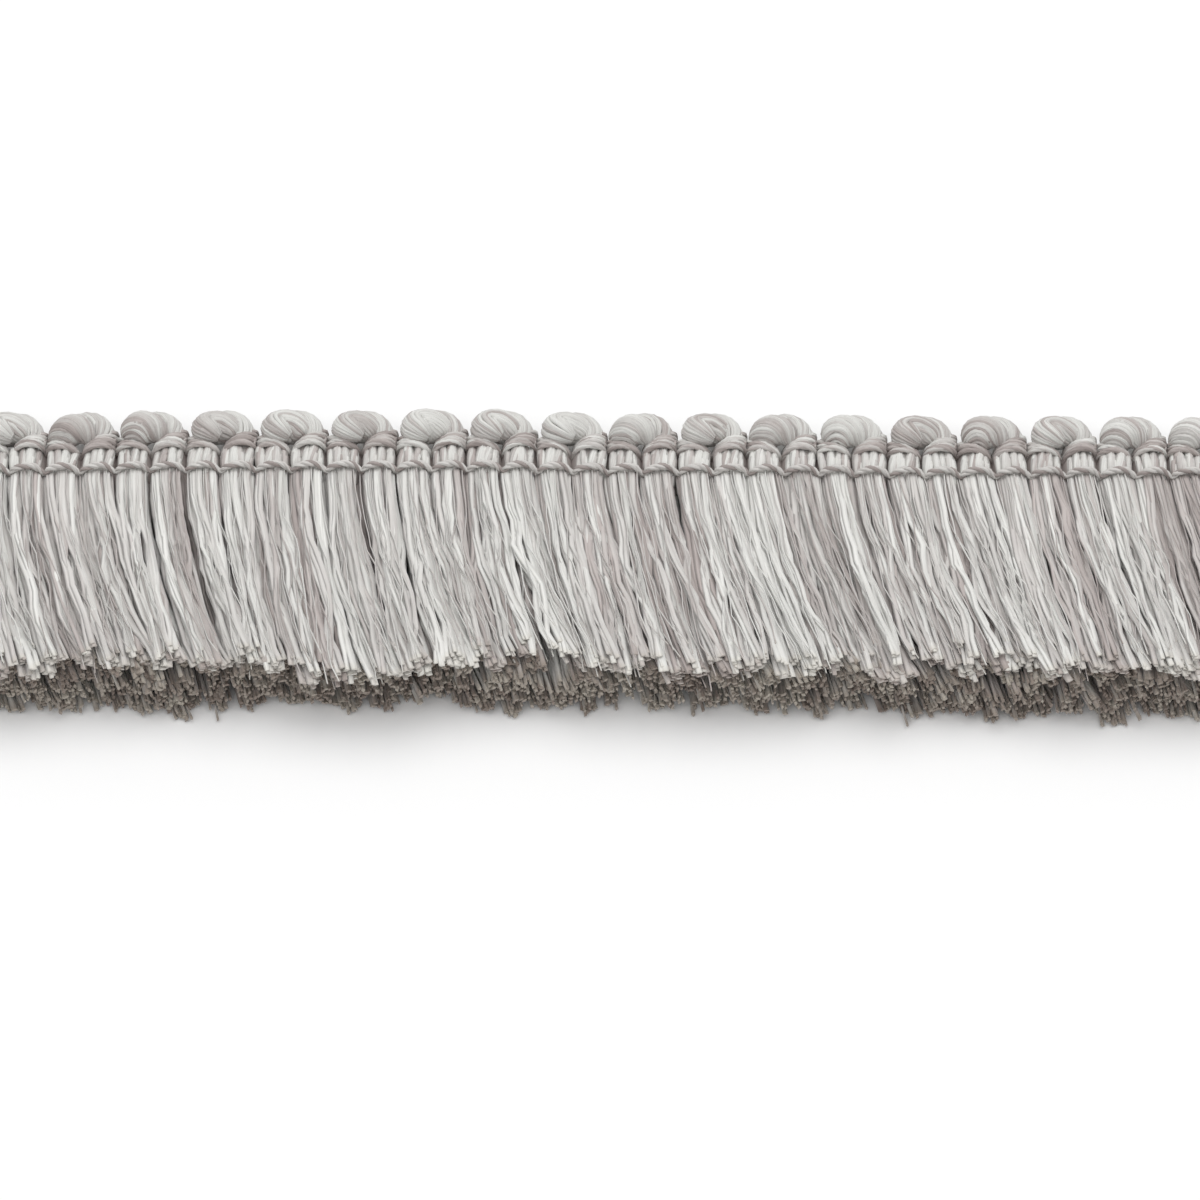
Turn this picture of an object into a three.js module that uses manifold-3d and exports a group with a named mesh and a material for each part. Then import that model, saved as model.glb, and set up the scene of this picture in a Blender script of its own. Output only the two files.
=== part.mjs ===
// A cut length of brush fringe trim, lying on its flat back, in millimetres.
// X runs along the trim, Y from the cut ends to the looped edge, and Z up from the surface it lies on.
// The fringe's yarns are bound side by side in ribs, two ribs to a loop, and a bundle of
// the same yarn turns over the top edge as a fat loop between each pair of ribs.
// The origin is below the middle of the whole trim, on that surface.
import * as THREE from 'three';
import { mergeVertices } from 'three/addons/utils/BufferGeometryUtils.js';
import Module from 'manifold-3d';

const wasm = await Module();
wasm.setup();

// Driving dimensions
const LOOP_COUNT = 19;
const LOOP_PITCH = 8.8;
const RIBS_PER_LOOP = 2;
const HEADING_DEPTH = 5.4;
const HEADING_THICKNESS = 4.6;
const FRINGE_LENGTH = 34.7;
const ROOT_THICKNESS = 4.2;
const BRUSH_THICKNESS = 8.2;
const LOOP_RADIUS = 2.15;
const PIECE_GAP = 0.3;
const BACKING_DEPTH = 1.2;

const RIB_PITCH = LOOP_PITCH / RIBS_PER_LOOP;
const RIB_COUNT = LOOP_COUNT * RIBS_PER_LOOP;
const TRIM_LENGTH = LOOP_COUNT * LOOP_PITCH;

// How the trim lies, at shares of its length from the left end: how far the heading
// sways up the surface, how far the brush leans to the right, and how far the cut line
// stands back from its full length.
const LIE = [
  { share: 0.0, sway: -0.2, lean: 8.0, setBack: 0.0 },
  { share: 0.1, sway: -0.2, lean: 7.8, setBack: 0.6 },
  { share: 0.21, sway: 0.25, lean: 7.2, setBack: 0.4 },
  { share: 0.32, sway: 0.45, lean: 6.4, setBack: 0.4 },
  { share: 0.44, sway: 0.6, lean: 6.0, setBack: 0.3 },
  { share: 0.53, sway: 0.2, lean: 5.4, setBack: 0.9 },
  { share: 0.66, sway: 0.2, lean: 6.4, setBack: -0.5 },
  { share: 0.75, sway: -0.1, lean: 5.6, setBack: -0.1 },
  { share: 0.9, sway: 0.0, lean: 4.6, setBack: -0.3 },
  { share: 1.0, sway: 0.0, lean: 4.4, setBack: -0.7 },
];

// The brush's layers from the surface up, each with its locks to a rib, by how much of a
// lock it is staggered, a lock's width and its steps along, the layer's span in shares of
// the brush's thickness, how far its ends stand back because the layer rides up, and how
// uneven they are.
const LAYERS = [
  { locks: 2, stagger: 0.0, width: 1.88, steps: 2, low: 0.0, high: 0.3, back: 0.0, rough: 0.5 },
  { locks: 2, stagger: 0.5, width: 1.88, steps: 2, low: 0.335, high: 0.64, back: 0.8, rough: 0.6 },
  { locks: 3, stagger: 0.0, width: 1.2, steps: 3, low: 0.675, high: 1.0, back: 2.0, rough: 1.6 },
];
// A lock's own swing and droop at its end, how narrow it is gathered at its root and over
// what share of its length it opens, how it thickens and leans along its length, and how
// far inside the backing it starts.
const LOCK_SWING = 0.2;
const LOCK_DROOP = 0.9;
const ROOT_GATHER = 0.94;
const GATHERED_SHARE = 0.25;
const THICKEN_POWER = 0.8;
const LEAN_POWER = 1.5;
const LOCK_INSET = 0.3;

// The rows across a rib, in shares of its depth from the brush up: the lower binding
// thread, the bare yarns, and the collar of wrapped yarn, as shares of the full height,
// and how much of it is left in the crease between two loops. The rest is the relief of
// a rib: the crease under a loop, how much shorter the first of each pair is, how far the
// collar climbs towards the crease between two loops, and the depth that is made too
// thick and then cut flat.
const ROWS = [
  { share: 0.0, height: 0.84, crease: 0.62 },
  { share: 0.1, height: 0.95, crease: 0.62 },
  { share: 0.21, height: 0.86, crease: 0.62 },
  { share: 0.4, height: 0.93, crease: 0.64 },
  { share: 0.58, height: 0.86, crease: 0.72 },
  { share: 0.78, height: 1.0, crease: 0.76 },
  { share: 0.94, height: 0.94, crease: 0.8 },
  { share: 1.0, height: 0.8, crease: 0.84 },
];
const COLUMNS_PER_RIB = 4;
const PINCH_HEIGHT = 0.6;
const FIRST_RIB_SHORTER = 0.45;
const COLLAR_CLIMB = 0.35;
const RIBS_VARY = 0.05;
const BACK_CUT = 1;

// The middle lines of a loop's two lobes, the fat one in front and the one that turns
// down behind it: x from the loop's left side, y above the heading, z above the surface,
// and the lobe's radius as a share of the full one.
const FRONT_LOBE = [
  { x: 1.1, y: 1.8, z: 3.4, radius: 0.34 },
  { x: 1.8, y: 2.05, z: 3.4, radius: 0.8 },
  { x: 2.9, y: 2.35, z: 3.4, radius: 1.02 },
  { x: 4.1, y: 2.4, z: 3.3, radius: 1.04 },
  { x: 5.4, y: 2.15, z: 3.2, radius: 0.86 },
  { x: 6.5, y: 1.75, z: 3.1, radius: 0.4 },
];
const BACK_LOBE = [
  { x: 3.6, y: 3.0, z: 2.5, radius: 0.5 },
  { x: 5.0, y: 3.2, z: 2.5, radius: 0.72 },
  { x: 6.5, y: 2.75, z: 2.45, radius: 0.7 },
  { x: 7.5, y: 1.95, z: 2.4, radius: 0.55 },
  { x: 7.9, y: 1.35, z: 2.4, radius: 0.3 },
];
const FRONT_SIDES = 10;
const BACK_SIDES = 8;
const LOOP_TWIST = 0.9;
const RIDGE_HEIGHT = 0.07;
const LOOPS_SHIFT = 0.25;
const LOOPS_VARY = 0.06;

const MERGE_WITHIN = 1e-4;

const { lerp, smoothstep } = THREE.MathUtils;

// A repeatable number from -0.5 to 0.5 for a piece's index and one of its features.
function uneven(index, feature) {
  const value = Math.sin(index * 12.9898 + feature * 78.233) * 43758.5453;
  return value - Math.floor(value) - 0.5;
}

// A column of a table whose rows stand at shares from 0 to 1, eased between the rows.
function fromTable(table, column, share) {
  const next = Math.max(1, table.findIndex((row) => row.share >= share));
  const from = table[next - 1];
  const to = table[next];
  return lerp(from[column], to[column], smoothstep(share, from.share, to.share));
}

function lie(column, x) {
  return fromTable(LIE, column, THREE.MathUtils.clamp(x / TRIM_LENGTH, 0, 1));
}

// Moves each point of a geometry, which the function changes in place.
function reshape(geometry, move) {
  const position = geometry.getAttribute('position');
  const point = new THREE.Vector3();
  for (let i = 0; i < position.count; i++) {
    move(point.fromBufferAttribute(position, i));
    position.setXYZ(i, point.x, point.y, point.z);
  }
  return geometry;
}

function solidOf(geometry) {
  const bare = geometry.clone();
  bare.deleteAttribute('normal');
  bare.deleteAttribute('uv');
  const merged = mergeVertices(bare, MERGE_WITHIN);
  return new wasm.Manifold(new wasm.Mesh({
    numProp: 3,
    vertProperties: merged.attributes.position.array,
    triVerts: new Uint32Array(merged.index.array),
  }));
}

function geometryOf(solid) {
  const { vertProperties, triVerts } = solid.getMesh();
  const geometry = new THREE.BufferGeometry();
  geometry.setAttribute('position', new THREE.BufferAttribute(vertProperties, 3));
  geometry.setIndex(new THREE.BufferAttribute(triVerts, 1));
  geometry.computeVertexNormals();
  return geometry;
}

// One lock of the brush: a four-sided bar from inside the backing to the cut line. It
// leaves the heading straight, leans over towards its end and thickens as it goes.
function lock(x, layer, index) {
  const lean = lie('lean', x) + LOCK_SWING * uneven(index, 1);
  const length = FRINGE_LENGTH - layer.back - lie('setBack', x) + layer.rough * uneven(index, 2);
  const droop = layer.high === 1 ? LOCK_DROOP * uneven(index, 3) : 0;
  const start = -PIECE_GAP - LOCK_INSET;
  const ribCentre = (Math.floor(x / RIB_PITCH) + 0.5) * RIB_PITCH;
  const bar = new THREE.BoxGeometry(1, 1, 1, 1, layer.steps, 1);
  return reshape(bar, (point) => {
    const along = 0.5 - point.y;
    const spread = Math.pow(along, THICKEN_POWER);
    const thickness = lerp(ROOT_THICKNESS, BRUSH_THICKNESS + droop, spread);
    const gathered = lerp(ROOT_GATHER, 1, Math.min(1, along / GATHERED_SHARE));
    const across = point.x * layer.width * gathered;
    const leaning = lean * Math.pow(along, LEAN_POWER);
    point.x = ribCentre + (x - ribCentre) * gathered + across + leaning;
    point.z = lerp(layer.low, layer.high, point.z + 0.5) * thickness;
    point.y = lie('sway', x) + start - along * (length + start);
  });
}

// The narrow strip that all the locks grow from, just below the heading.
function backing() {
  const strip = new THREE.BoxGeometry(1, 1, 1, RIB_COUNT, 1, 1);
  return reshape(strip, (point) => {
    const x = (point.x + 0.5) * TRIM_LENGTH;
    point.y = lie('sway', x) - PIECE_GAP - (0.5 - point.y) * BACKING_DEPTH;
    point.z = (point.z + 0.5) * ROOT_THICKNESS;
    point.x = x;
  });
}

function brush() {
  const solids = [solidOf(backing())];
  LAYERS.forEach((layer) => {
    const pitch = RIB_PITCH / layer.locks;
    const count = RIB_COUNT * layer.locks - Math.ceil(layer.stagger);
    for (let i = 0; i < count; i++) {
      solids.push(solidOf(lock((i + 0.5 + layer.stagger) * pitch, layer, solids.length)));
    }
  });
  return geometryOf(wasm.Manifold.union(solids));
}

// The bound heading: ribs side by side with creases between them and three rows of
// binding across them, raised in the upper face, and cut flat along its back.
function heading() {
  const columns = RIB_COUNT * COLUMNS_PER_RIB;
  const band = new THREE.BoxGeometry(1, 1, 1, columns, ROWS.length - 1, 1);
  reshape(band, (point) => {
    const column = Math.round((point.x + 0.5) * columns);
    const rib = Math.min(RIB_COUNT - 1, Math.floor(column / COLUMNS_PER_RIB));
    const across = (2 * column) / COLUMNS_PER_RIB - 2 * rib - 1;
    const bulge = Math.sqrt(1 - across * across);
    const row = ROWS[Math.round((point.y + 0.5) * (ROWS.length - 1))];
    const first = rib % RIBS_PER_LOOP === 0;
    const climb = first ? -across : across;
    const depth = HEADING_DEPTH + COLLAR_CLIMB * climb - (first ? FIRST_RIB_SHORTER * bulge : 0);
    const full = HEADING_THICKNESS * (1 + RIBS_VARY * uneven(rib, 4));
    const height = full * row.height * lerp(climb > 0 ? row.crease : PINCH_HEIGHT, 1, bulge);
    const x = (column / columns) * TRIM_LENGTH;
    point.set(x, lie('sway', x) + lerp(0, depth, row.share), point.z > 0 ? height : -BACK_CUT);
  });
  const keep = new THREE.BoxGeometry(2 * TRIM_LENGTH, 2 * TRIM_LENGTH, 2 * HEADING_THICKNESS);
  keep.translate(TRIM_LENGTH / 2, 0, HEADING_THICKNESS);
  return geometryOf(solidOf(band).intersect(solidOf(keep)));
}

// One lobe of a loop: a spindle turned on a lathe and bent along the lobe's line, with
// its twist of yarns raised as ridges that run slowly round it.
function lobe(rows, sides, fullRadius) {
  const line = new THREE.CatmullRomCurve3(rows.map(({ x, y, z }) => new THREE.Vector3(x, y, z)));
  const last = rows.length - 1;
  const profile = [new THREE.Vector2(0, 0)];
  rows.forEach((row, ring) => profile.push(new THREE.Vector2(1, ring / last)));
  profile.push(new THREE.Vector2(0, 1));
  const spindle = new THREE.LatheGeometry(profile, sides);
  const upward = new THREE.Vector3(0, 0, 1);
  return reshape(spindle, (point) => {
    const share = point.y;
    const reach = Math.hypot(point.x, point.z);
    const side = Math.round((Math.atan2(point.x, point.z) / (2 * Math.PI)) * sides);
    const turn = (2 * Math.PI * side) / sides + LOOP_TWIST * share;
    const ridge = 1 + (side % 2 === 0 ? RIDGE_HEIGHT : -RIDGE_HEIGHT);
    const radius = fullRadius * ridge * reach * rows[Math.round(share * last)].radius;
    const tangent = line.getTangent(share);
    const inward = new THREE.Vector3().crossVectors(upward, tangent).normalize();
    const above = new THREE.Vector3().crossVectors(tangent, inward);
    point.copy(line.getPoint(share));
    point.addScaledVector(inward, radius * Math.cos(turn));
    point.addScaledVector(above, radius * Math.sin(turn));
  });
}

// One loop: its two lobes joined, in its place above the heading.
function loop(index) {
  const radius = LOOP_RADIUS * (1 + LOOPS_VARY * uneven(index, 5));
  const front = solidOf(lobe(FRONT_LOBE, FRONT_SIDES, radius));
  const back = solidOf(lobe(BACK_LOBE, BACK_SIDES, radius));
  const left = index * LOOP_PITCH + LOOPS_SHIFT * uneven(index, 6);
  const sway = lie('sway', (index + 0.5) * LOOP_PITCH);
  return geometryOf(front.add(back)).translate(left, HEADING_DEPTH + sway, 0);
}

const yarn = new THREE.MeshStandardMaterial({ color: 0xbcb8b4, roughness: 0.75, metalness: 0 });
const boundYarn = new THREE.MeshStandardMaterial({ color: 0xb0aba7, roughness: 0.8, metalness: 0 });
const loopYarn = new THREE.MeshStandardMaterial({ color: 0xc4c0bc, roughness: 0.7, metalness: 0 });

const trim = new THREE.Group();

function add(name, geometry, material) {
  const mesh = new THREE.Mesh(geometry, material);
  mesh.name = name;
  trim.add(mesh);
}

add('brush', brush(), yarn);
add('heading', heading(), boundYarn);
for (let i = 0; i < LOOP_COUNT; i++) {
  add(`loop_${String(i + 1).padStart(2, '0')}`, loop(i), loopYarn);
}

// The origin goes below the middle of the whole trim.
const box = new THREE.Box3().setFromObject(trim, true);
trim.position.set(-(box.min.x + box.max.x) / 2, -(box.min.y + box.max.y) / 2, -box.min.z);

export default trim;
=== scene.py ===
import math
import random

import bpy
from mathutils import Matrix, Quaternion, Vector, noise


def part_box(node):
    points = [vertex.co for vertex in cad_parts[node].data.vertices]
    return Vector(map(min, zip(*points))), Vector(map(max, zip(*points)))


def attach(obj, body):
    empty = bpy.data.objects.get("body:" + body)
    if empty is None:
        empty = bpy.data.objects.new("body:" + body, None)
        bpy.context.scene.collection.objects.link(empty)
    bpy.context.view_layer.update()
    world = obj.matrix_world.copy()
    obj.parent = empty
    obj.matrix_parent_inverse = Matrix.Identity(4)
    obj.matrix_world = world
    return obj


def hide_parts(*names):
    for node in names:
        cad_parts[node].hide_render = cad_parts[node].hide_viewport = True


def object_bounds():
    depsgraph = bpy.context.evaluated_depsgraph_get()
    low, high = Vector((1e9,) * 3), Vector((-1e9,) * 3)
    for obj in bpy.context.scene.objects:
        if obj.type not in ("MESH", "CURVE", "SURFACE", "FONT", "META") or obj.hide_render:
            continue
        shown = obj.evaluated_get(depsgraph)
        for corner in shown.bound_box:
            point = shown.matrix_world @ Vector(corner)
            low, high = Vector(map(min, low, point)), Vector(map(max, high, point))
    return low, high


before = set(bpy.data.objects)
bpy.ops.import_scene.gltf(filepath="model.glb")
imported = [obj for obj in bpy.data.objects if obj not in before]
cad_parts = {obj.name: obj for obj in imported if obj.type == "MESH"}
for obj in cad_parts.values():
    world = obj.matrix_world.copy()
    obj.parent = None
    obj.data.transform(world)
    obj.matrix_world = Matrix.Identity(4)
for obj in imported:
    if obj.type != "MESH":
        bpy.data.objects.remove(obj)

MM = 0.001
CAD_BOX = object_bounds()

# Sizes and places that the solids have too
LOOP_COUNT = 19
LOOP_PITCH = 8.8
RIBS_PER_LOOP = 2
HEADING_DEPTH = 5.4
FRINGE_LENGTH = 34.7
ROOT_THICKNESS = 4.2
BRUSH_THICKNESS = 8.2
LOOP_RADIUS = 2.15
RIB_PITCH = LOOP_PITCH / RIBS_PER_LOOP
RIB_COUNT = LOOP_COUNT * RIBS_PER_LOOP
TRIM_LENGTH = LOOP_COUNT * LOOP_PITCH
LEAN_POWER = 1.5
THICKEN_POWER = 0.8

# How the trim lies, at shares of its length from the left end: how far the heading
# sways up the surface, how far the brush leans to the right, how far the cut line stands
# back from its full length, and how far the topmost yarns stand back behind the others.
LIE = [
    {"share": 0.0, "sway": -0.2, "lean": 8.0, "set_back": 0.0, "top_back": 0.0},
    {"share": 0.1, "sway": -0.2, "lean": 7.8, "set_back": 0.6, "top_back": 0.1},
    {"share": 0.21, "sway": 0.25, "lean": 7.2, "set_back": 0.4, "top_back": 0.1},
    {"share": 0.32, "sway": 0.45, "lean": 6.4, "set_back": 0.4, "top_back": -1.7},
    {"share": 0.44, "sway": 0.6, "lean": 6.0, "set_back": 0.3, "top_back": 1.5},
    {"share": 0.53, "sway": 0.2, "lean": 5.4, "set_back": 0.9, "top_back": -1.1},
    {"share": 0.66, "sway": 0.2, "lean": 6.4, "set_back": -0.5, "top_back": 0.6},
    {"share": 0.75, "sway": -0.1, "lean": 5.6, "set_back": -0.1, "top_back": 1.5},
    {"share": 0.9, "sway": 0.0, "lean": 4.6, "set_back": -0.3, "top_back": 0.9},
    {"share": 1.0, "sway": 0.0, "lean": 4.4, "set_back": -0.7, "top_back": 0.0},
]


def lie(column, x):
    """A column of LIE at x along the trim, eased between its rows."""
    share = min(1.0, max(0.0, x / TRIM_LENGTH))
    after = next(i for i in range(1, len(LIE)) if LIE[i]["share"] >= share)
    low, high = LIE[after - 1], LIE[after]
    part = (share - low["share"]) / (high["share"] - low["share"])
    eased = part * part * (3 - 2 * part)
    return low[column] + (high[column] - low[column]) * eased


# The trim's left end, the heading's lower edge and the surface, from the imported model.
HEADING_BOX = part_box("heading")
CORNER = Vector((
    HEADING_BOX[0].x,
    HEADING_BOX[0].y - min(row["sway"] for row in LIE) * MM,
    CAD_BOX[0].z,
))


def place(x, y, z):
    """A point in metres, from millimetres along, up and above the trim as it sways."""
    return CORNER + Vector((x, y + lie("sway", x), z)) * MM


# The camera looks down on the cut ends through a long lens.
VIEW_ELEVATION = 50.8
VIEW_ROLL = 0.26
VIEW_WIDTH = 147.7
VIEW_CENTRE = Vector((1.5, -4.7, 0.0)) * MM
LENS = 135.0
SENSOR = 36.0


def aim_camera():
    data = bpy.data.cameras.new("camera")
    data.lens = LENS
    data.sensor_width = SENSOR
    camera = bpy.data.objects.new("camera", data)
    bpy.context.scene.collection.objects.link(camera)
    tilt = math.radians(VIEW_ELEVATION)
    back = Vector((0, -math.cos(tilt), math.sin(tilt)))
    camera.location = VIEW_CENTRE + back * (VIEW_WIDTH * MM * LENS / SENSOR)
    camera.rotation_mode = "QUATERNION"
    roll = Quaternion((0, 0, 1), math.radians(VIEW_ROLL))
    camera.rotation_quaternion = (-back).to_track_quat("-Z", "Y") @ roll
    bpy.context.scene.camera = camera


aim_camera()


# Node trees
class Tree:
    """A node tree with named inputs, to which nodes are added one by one."""

    def __init__(self, name, kind, inputs, outputs):
        self.tree = bpy.data.node_groups.new(name, kind)
        for label, socket in outputs.items():
            self.tree.interface.new_socket(label, in_out="OUTPUT", socket_type=socket)
        for label, socket in inputs.items():
            self.tree.interface.new_socket(label, in_out="INPUT", socket_type=socket)
        self.given = self.tree.nodes.new("NodeGroupInput").outputs
        self.result = self.tree.nodes.new("NodeGroupOutput").inputs

    def add(self, kind, *values, named=None, **settings):
        node = self.tree.nodes.new(kind)
        for name, setting in settings.items():
            setattr(node, name, setting)
        filled = list(zip(node.inputs, values))
        filled += [(node.inputs[name], value) for name, value in (named or {}).items()]
        for socket, value in filled:
            if isinstance(value, bpy.types.NodeSocket):
                self.tree.links.new(value, socket)
            elif value is not None:
                socket.default_value = value
        return node

    def math(self, operation, *values):
        return self.add("ShaderNodeMath", *values, operation=operation).outputs[0]

    def vector(self, operation, *values):
        return self.add("ShaderNodeVectorMath", *values, operation=operation).outputs[0]

    def scale(self, vector, amount):
        node = self.add("ShaderNodeVectorMath", vector, operation="SCALE")
        self.join(amount, node.inputs["Scale"])
        return node.outputs[0]

    def combine(self, x, y, z):
        return self.add("ShaderNodeCombineXYZ", x, y, z).outputs[0]

    def fit(self, value, low, high, to_low, to_high):
        return self.add("ShaderNodeMapRange", value, low, high, to_low, to_high).outputs[0]

    def noise(self, at, scale, detail, output="Fac"):
        sizes = {"Vector": at, "Scale": scale, "Detail": detail}
        return self.add("ShaderNodeTexNoise", named=sizes).outputs[output]

    def read(self, name, kind="FLOAT"):
        return self.add("GeometryNodeInputNamedAttribute", name, data_type=kind).outputs[0]

    def store(self, geometry, name, value, kind="FLOAT"):
        values = (geometry, True, name, value)
        return self.add("GeometryNodeStoreNamedAttribute", *values, data_type=kind).outputs[0]

    def join(self, output, socket):
        self.tree.links.new(output, socket)


# The middle of the noise, and what sets the noise or the turn of one strand, bundle or
# fibre apart from the next.
NOISE_MEAN = 0.5
STRAND_APART = 7.31
TURN_APART = 37.0
BUNDLE_APART = 3.7
FIBRE_APART = 90.0
BAND_APART = 5.3
NUMBER_APART = 17.0

# A strand: the share of its length over which its waves grow, how high they are for their
# width, how many of its own it has for each of its yarn's, and where its end flares from.
STIFF_SHARE = 0.4
WAVE_SHAPE = (1.0, 1.0, 0.5)
OWN_WAVES = 2.0
FLARE_FROM = 0.9

# A bundle: how fast its fibres stray along it, how far they lift as they do, and the span
# of the noise over which its bands go from dark to pale.
STRAY_CHANGE = 2.5
STRAY_LIFT = 0.25
BAND_SPAN = (0.34, 0.66)


def sweep(t, curves, sides, flatness, radius, material):
    """Ends a tree: a closed tube along every curve, with its side stored for the filaments."""
    sizes = {"Resolution": sides, "Radius": 1.0}
    ring = t.add("GeometryNodeCurvePrimitiveCircle", named=sizes).outputs[0]
    ring = t.store(ring, "side", t.add("GeometryNodeInputPosition").outputs[0], "FLOAT_VECTOR")
    squash = t.combine(1.0, flatness, 1.0)
    flat = t.add("GeometryNodeTransform", named={"Geometry": ring, "Scale": squash}).outputs[0]
    tubes = t.add("GeometryNodeCurveToMesh", curves, flat, radius, True).outputs[0]
    smooth = t.add("GeometryNodeSetShadeSmooth", tubes, True, True).outputs[0]
    whole = t.add("GeometryNodeRealizeInstances", smooth).outputs[0]
    finished = t.add("GeometryNodeSetMaterial", whole, True, material).outputs[0]
    t.join(finished, t.result[0])


def cut_yarn_tree():
    """Strands from roots: each leans and rises along its reach, and waves with its yarn."""
    t = Tree("cut_yarns", "GeometryNodeTree", {
        "Roots": "NodeSocketGeometry",
        "Steps": "NodeSocketInt",
        "Sides": "NodeSocketInt",
        "Flatness": "NodeSocketFloat",
        "Turn": "NodeSocketFloat",
        "Lean Power": "NodeSocketFloat",
        "Thicken Power": "NodeSocketFloat",
        "Yarn Wave": "NodeSocketFloat",
        "Own Wave": "NodeSocketFloat",
        "Waves": "NodeSocketFloat",
        "Flare": "NodeSocketFloat",
        "Floor": "NodeSocketFloat",
        "Seed": "NodeSocketFloat",
        "Material": "NodeSocketMaterial",
    }, {"Yarns": "NodeSocketGeometry"})
    given = t.given
    line = t.add("GeometryNodeCurvePrimitiveLine").outputs[0]
    points = t.math("ADD", given["Steps"], 1.0)
    line = t.add("GeometryNodeResampleCurve", line, True, points).outputs[0]
    placed = t.add("GeometryNodeInstanceOnPoints", given["Roots"], True, line).outputs[0]
    curves = t.add("GeometryNodeRealizeInstances", placed).outputs[0]
    along = t.add("GeometryNodeSplineParameter").outputs["Factor"]
    rise = t.combine(
        t.math("POWER", along, given["Lean Power"]),
        along,
        t.math("POWER", along, given["Thicken Power"]),
    )
    reach = t.vector("MULTIPLY", rise, t.read("reach", "FLOAT_VECTOR"))
    path = t.vector("ADD", t.read("root", "FLOAT_VECTOR"), reach)
    for attribute, amount, waves in (("yarn", "Yarn Wave", 1.0), ("number", "Own Wave", OWN_WAVES)):
        number = t.read(attribute)
        phase = t.combine(
            t.math("MULTIPLY", number, STRAND_APART),
            t.math("ADD", given["Seed"], number),
            t.math("MULTIPLY", along, t.math("MULTIPLY", given["Waves"], waves)),
        )
        shake = t.vector("SUBTRACT", t.noise(phase, 1.0, 1.0, "Color"), (NOISE_MEAN,) * 3)
        shake = t.vector("MULTIPLY", shake, WAVE_SHAPE)
        full = t.math("MULTIPLY", t.fit(along, 0.0, STIFF_SHARE, 0.0, 1.0), given[amount])
        path = t.vector("ADD", path, t.scale(shake, full))
    parts = t.add("ShaderNodeSeparateXYZ", path).outputs
    path = t.combine(parts[0], parts[1], t.math("MAXIMUM", parts[2], given["Floor"]))
    curves = t.add("GeometryNodeSetPosition", curves, True, path).outputs[0]
    turned = t.math("SINE", t.math("MULTIPLY", t.read("number"), TURN_APART))
    turned = t.math("MULTIPLY", turned, given["Turn"])
    curves = t.add("GeometryNodeSetCurveTilt", curves, True, turned).outputs[0]
    curves = t.store(curves, "along", along)
    flare = t.fit(along, FLARE_FROM, 1.0, 1.0, given["Flare"])
    radius = t.math("MULTIPLY", t.read("thick"), flare)
    sweep(t, curves, given["Sides"], given["Flatness"], radius, given["Material"])
    return t.tree


def bundle_tree():
    """Bundles of fibres twisted round their guides, each over a plain core."""
    t = Tree("twisted_bundles", "GeometryNodeTree", {
        "Guides": "NodeSocketGeometry",
        "Fibres": "NodeSocketInt",
        "Sides": "NodeSocketInt",
        "Twist": "NodeSocketFloat",
        "Overlap": "NodeSocketFloat",
        "Loose": "NodeSocketFloat",
        "Bands": "NodeSocketFloat",
        "Core": "NodeSocketFloat",
        "Seed": "NodeSocketFloat",
        "Material": "NodeSocketMaterial",
    }, {"Bundles": "NodeSocketGeometry"})
    given = t.given
    guides = t.add("GeometryNodeMeshToCurve", given["Guides"]).outputs[0]
    copies = t.add("GeometryNodeDuplicateElements", guides, True, given["Fibres"], domain="SPLINE")
    along = t.add("GeometryNodeSplineParameter").outputs["Factor"]
    fibres = t.store(copies.outputs[0], "fibre", copies.outputs["Duplicate Index"])
    share = t.math("DIVIDE", t.read("fibre"), given["Fibres"])
    number = t.read("number")
    strays = t.combine(
        t.math("MULTIPLY", number, BUNDLE_APART),
        t.math("MULTIPLY", share, FIBRE_APART),
        t.math("ADD", given["Seed"], t.math("MULTIPLY", along, STRAY_CHANGE)),
    )
    loose = t.math("SUBTRACT", t.noise(strays, 1.0, 1.0), NOISE_MEAN)
    loose = t.math("MULTIPLY", loose, given["Loose"])
    around = t.math("MULTIPLY", share, math.tau)
    turn = t.math("ADD", around, t.math("MULTIPLY", along, given["Twist"]))
    turn = t.math("ADD", turn, loose)
    tangent = t.add("GeometryNodeInputTangent").outputs[0]
    normal = t.add("GeometryNodeInputNormal").outputs[0]
    across = t.vector("CROSS_PRODUCT", tangent, normal)
    outward = t.scale(normal, t.math("COSINE", turn))
    outward = t.vector("ADD", outward, t.scale(across, t.math("SINE", turn)))
    thick = t.read("thick")
    fibre = t.math("MULTIPLY", thick, t.math("MULTIPLY", given["Overlap"], math.pi))
    fibre = t.math("DIVIDE", fibre, given["Fibres"])
    lifted = t.math("ADD", 1.0, t.math("MULTIPLY", loose, STRAY_LIFT))
    away = t.math("MULTIPLY", t.math("SUBTRACT", thick, fibre), lifted)
    moved = t.add("GeometryNodeSetPosition", fibres, True, None, t.scale(outward, away)).outputs[0]
    band = t.combine(
        t.math("COSINE", around),
        t.math("SINE", around),
        t.math("ADD", given["Seed"], t.math("MULTIPLY", number, BAND_APART)),
    )
    band = t.fit(t.noise(band, given["Bands"], 1.0), *BAND_SPAN, 0.0, 1.0)
    shade = t.math("ADD", t.read("shade"), t.math("SUBTRACT", band, NOISE_MEAN))
    moved = t.store(moved, "shade", shade)
    moved = t.store(moved, "number", t.math("ADD", number, t.math("MULTIPLY", share, NUMBER_APART)))
    moved = t.store(moved, "width", fibre)
    cores = t.store(guides, "width", t.math("MULTIPLY", thick, given["Core"]))
    both = t.add("GeometryNodeJoinGeometry")
    t.join(moved, both.inputs[0])
    t.join(cores, both.inputs[0])
    curves = t.store(both.outputs[0], "along", along)
    sweep(t, curves, given["Sides"], 1.0, t.read("width"), given["Material"])
    return t.tree


CUT_YARNS = cut_yarn_tree()
BUNDLES = bundle_tree()


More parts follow.
